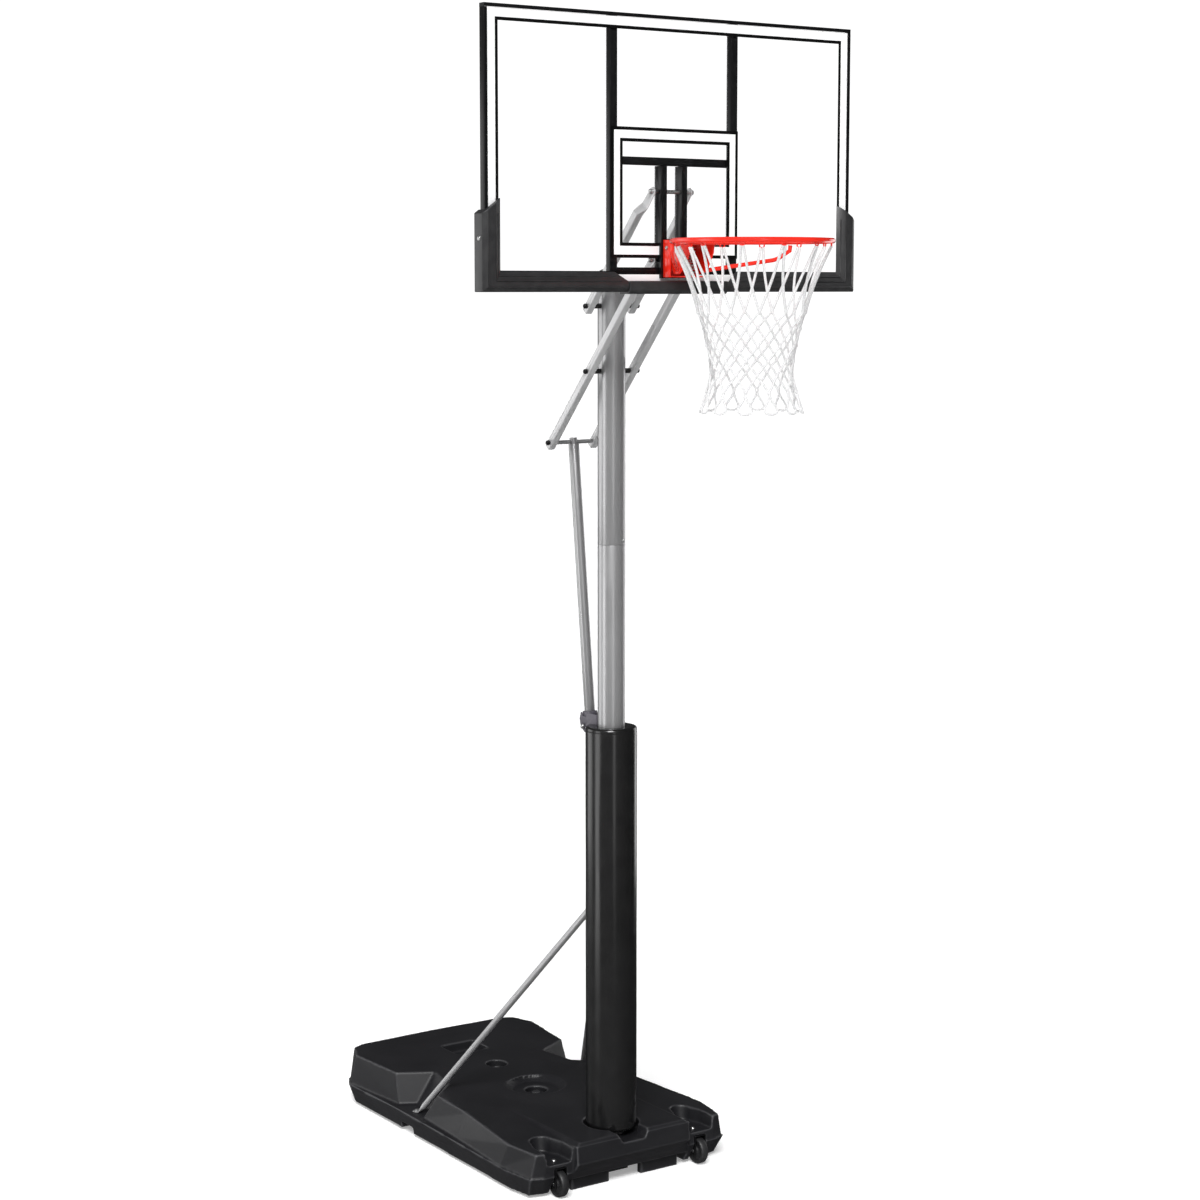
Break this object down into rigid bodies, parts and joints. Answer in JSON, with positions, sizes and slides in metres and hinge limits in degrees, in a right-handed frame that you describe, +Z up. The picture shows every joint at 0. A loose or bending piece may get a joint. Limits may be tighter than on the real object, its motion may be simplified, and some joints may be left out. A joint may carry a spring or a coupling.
{
  "type": "portable basketball hoop",
  "caption": "Free-standing basketball hoop on a wheeled tank: clear framed backboard on parallel lift arms with a screw jack, breakaway rim and net.",
  "frame": {"origin": "on the floor under the pole's axis, on the underside of the tank's middle front foot", "axes": "+Z up; the backboard faces -Y; +X runs across the board"},
  "size_m": [1.405, 2.148, 3.7245],
  "materials": {
    "tank_plastic": "blow-moulded charcoal polyethylene, fine grain",
    "black_plastic": "black moulded plastic",
    "wheel_plastic": "hard black wheel plastic",
    "pad_vinyl": "glossy black vinyl over foam, no lettering",
    "edge_pad": "dark grey moulded foam",
    "silver_steel": "silver powder coat, satin",
    "zinc_steel": "zinc-plated fasteners",
    "black_steel": "black powder coat",
    "rim_steel": "orange-red powder coat, glossy",
    "jack_casting": "grey-violet glass-filled plastic",
    "clear_acrylic": "clear acrylic sheet with a printed white border and target",
    "net_cord": "white braided nylon"
  },
  "bodies": {
    "base": {"base_tank": "tank_plastic", "fill_cap": "tank_plastic", "drain_plug": "tank_plastic", "wheel_bracket_left": "black_steel", "wheel_bracket_right": "black_steel", "wheel_axle_left": "zinc_steel", "wheel_axle_right": "zinc_steel", "brace_left": "silver_steel", "brace_right": "silver_steel", "brace_bolt": "zinc_steel", "pole_lower": "silver_steel", "pole_middle": "silver_steel", "pole_upper": "silver_steel", "pole_cap": "black_plastic", "pole_pad": "pad_vinyl", "lower_spacer_left": "black_plastic", "lower_spacer_right": "black_plastic", "upper_spacer_left": "black_plastic", "upper_spacer_right": "black_plastic", "lower_pivot_bolt": "black_steel", "upper_pivot_bolt": "black_steel", "jack_bracket": "jack_casting", "jack_pivot_pin": "zinc_steel"},
    "left_wheel": {"wheel_left": "wheel_plastic"},
    "right_wheel": {"wheel_right": "wheel_plastic"},
    "lower_arms": {"lower_arm_left": "silver_steel", "lower_arm_right": "silver_steel", "rear_bolt_left": "black_steel", "rear_bolt_right": "black_steel"},
    "upper_arms": {"upper_arm_left": "silver_steel", "upper_arm_right": "silver_steel"},
    "board": {"frame_top": "black_steel", "frame_bottom": "black_steel", "frame_left": "black_steel", "frame_right": "black_steel", "acrylic_panel": "clear_acrylic", "board_bar_left": "black_steel", "board_bar_right": "black_steel", "arm_channel_left": "black_steel", "arm_channel_right": "black_steel", "crossbar_upper": "black_steel", "crossbar_lower": "black_steel", "board_pin_upper": "zinc_steel", "board_pin_lower": "zinc_steel", "board_pad_left": "edge_pad", "board_pad_right": "edge_pad", "board_pad_centre": "edge_pad", "rim_plate": "rim_steel", "rim_hinge_pin": "zinc_steel", "rim_spring": "zinc_steel"},
    "rim": {"rim_ring": "rim_steel", "rim_bracket": "rim_steel", "rim_brace_left": "rim_steel", "rim_brace_right": "rim_steel", "net": "net_cord"},
    "jack": {"jack_housing": "jack_casting", "jack_outer_tube": "silver_steel", "jack_screw": "zinc_steel"},
    "jack_rod": {"jack_inner_tube": "silver_steel", "jack_cross_rod": "silver_steel"}
  },
  "joints": [
    {"name": "height_adjust", "type": "hinge", "parent": "base", "child": "lower_arms", "pos_m": [0, 0, 2.646], "axis": [1, 0, 0], "range_deg": [0, 108.5]},
    {"name": "upper_arm_pivot", "type": "hinge", "parent": "base", "child": "upper_arms", "pos_m": [0, 0, 2.852], "axis": [1, 0, 0], "range_deg": [0, 108.5]},
    {"name": "board_level", "type": "hinge", "parent": "lower_arms", "child": "board", "pos_m": [0, -0.32, 2.994], "axis": [1, 0, 0], "range_deg": [-108.5, 0]},
    {"name": "jack_tilt", "type": "hinge", "parent": "base", "child": "jack", "pos_m": [0, 0.119, 1.482], "axis": [1, 0, 0], "range_deg": [0, 4.66]},
    {"name": "jack_extension", "type": "slide", "parent": "jack", "child": "jack_rod", "axis": [0, 0.1061, 0.9944], "range_m": [0, 0.5151]},
    {"name": "rim_breakaway", "type": "hinge", "parent": "board", "child": "rim", "pos_m": [0, -0.372, 3.03], "axis": [1, 0, 0], "range_deg": [0, 15], "stiffness_Nm_per_rad": 150, "springref_deg": -34.38, "deforming": ["rim_spring"]},
    {"name": "left_wheel_spin", "type": "hinge", "parent": "base", "child": "left_wheel", "pos_m": [-0.279, -0.106, 0.0458], "axis": [1, 0, 0], "continuous": true},
    {"name": "right_wheel_spin", "type": "hinge", "parent": "base", "child": "right_wheel", "pos_m": [0.279, -0.106, 0.0458], "axis": [1, 0, 0], "continuous": true}
  ],
  "couplings": [
    {"joint": "upper_arm_pivot", "follows": "height_adjust", "ratio": 1},
    {"joint": "board_level", "follows": "height_adjust", "ratio": -1},
    {"joint": "jack_tilt", "follows": "height_adjust", "ratio": 0.042787},
    {"joint": "jack_extension", "follows": "height_adjust", "m_per_rad": 0.27149}
  ]
}
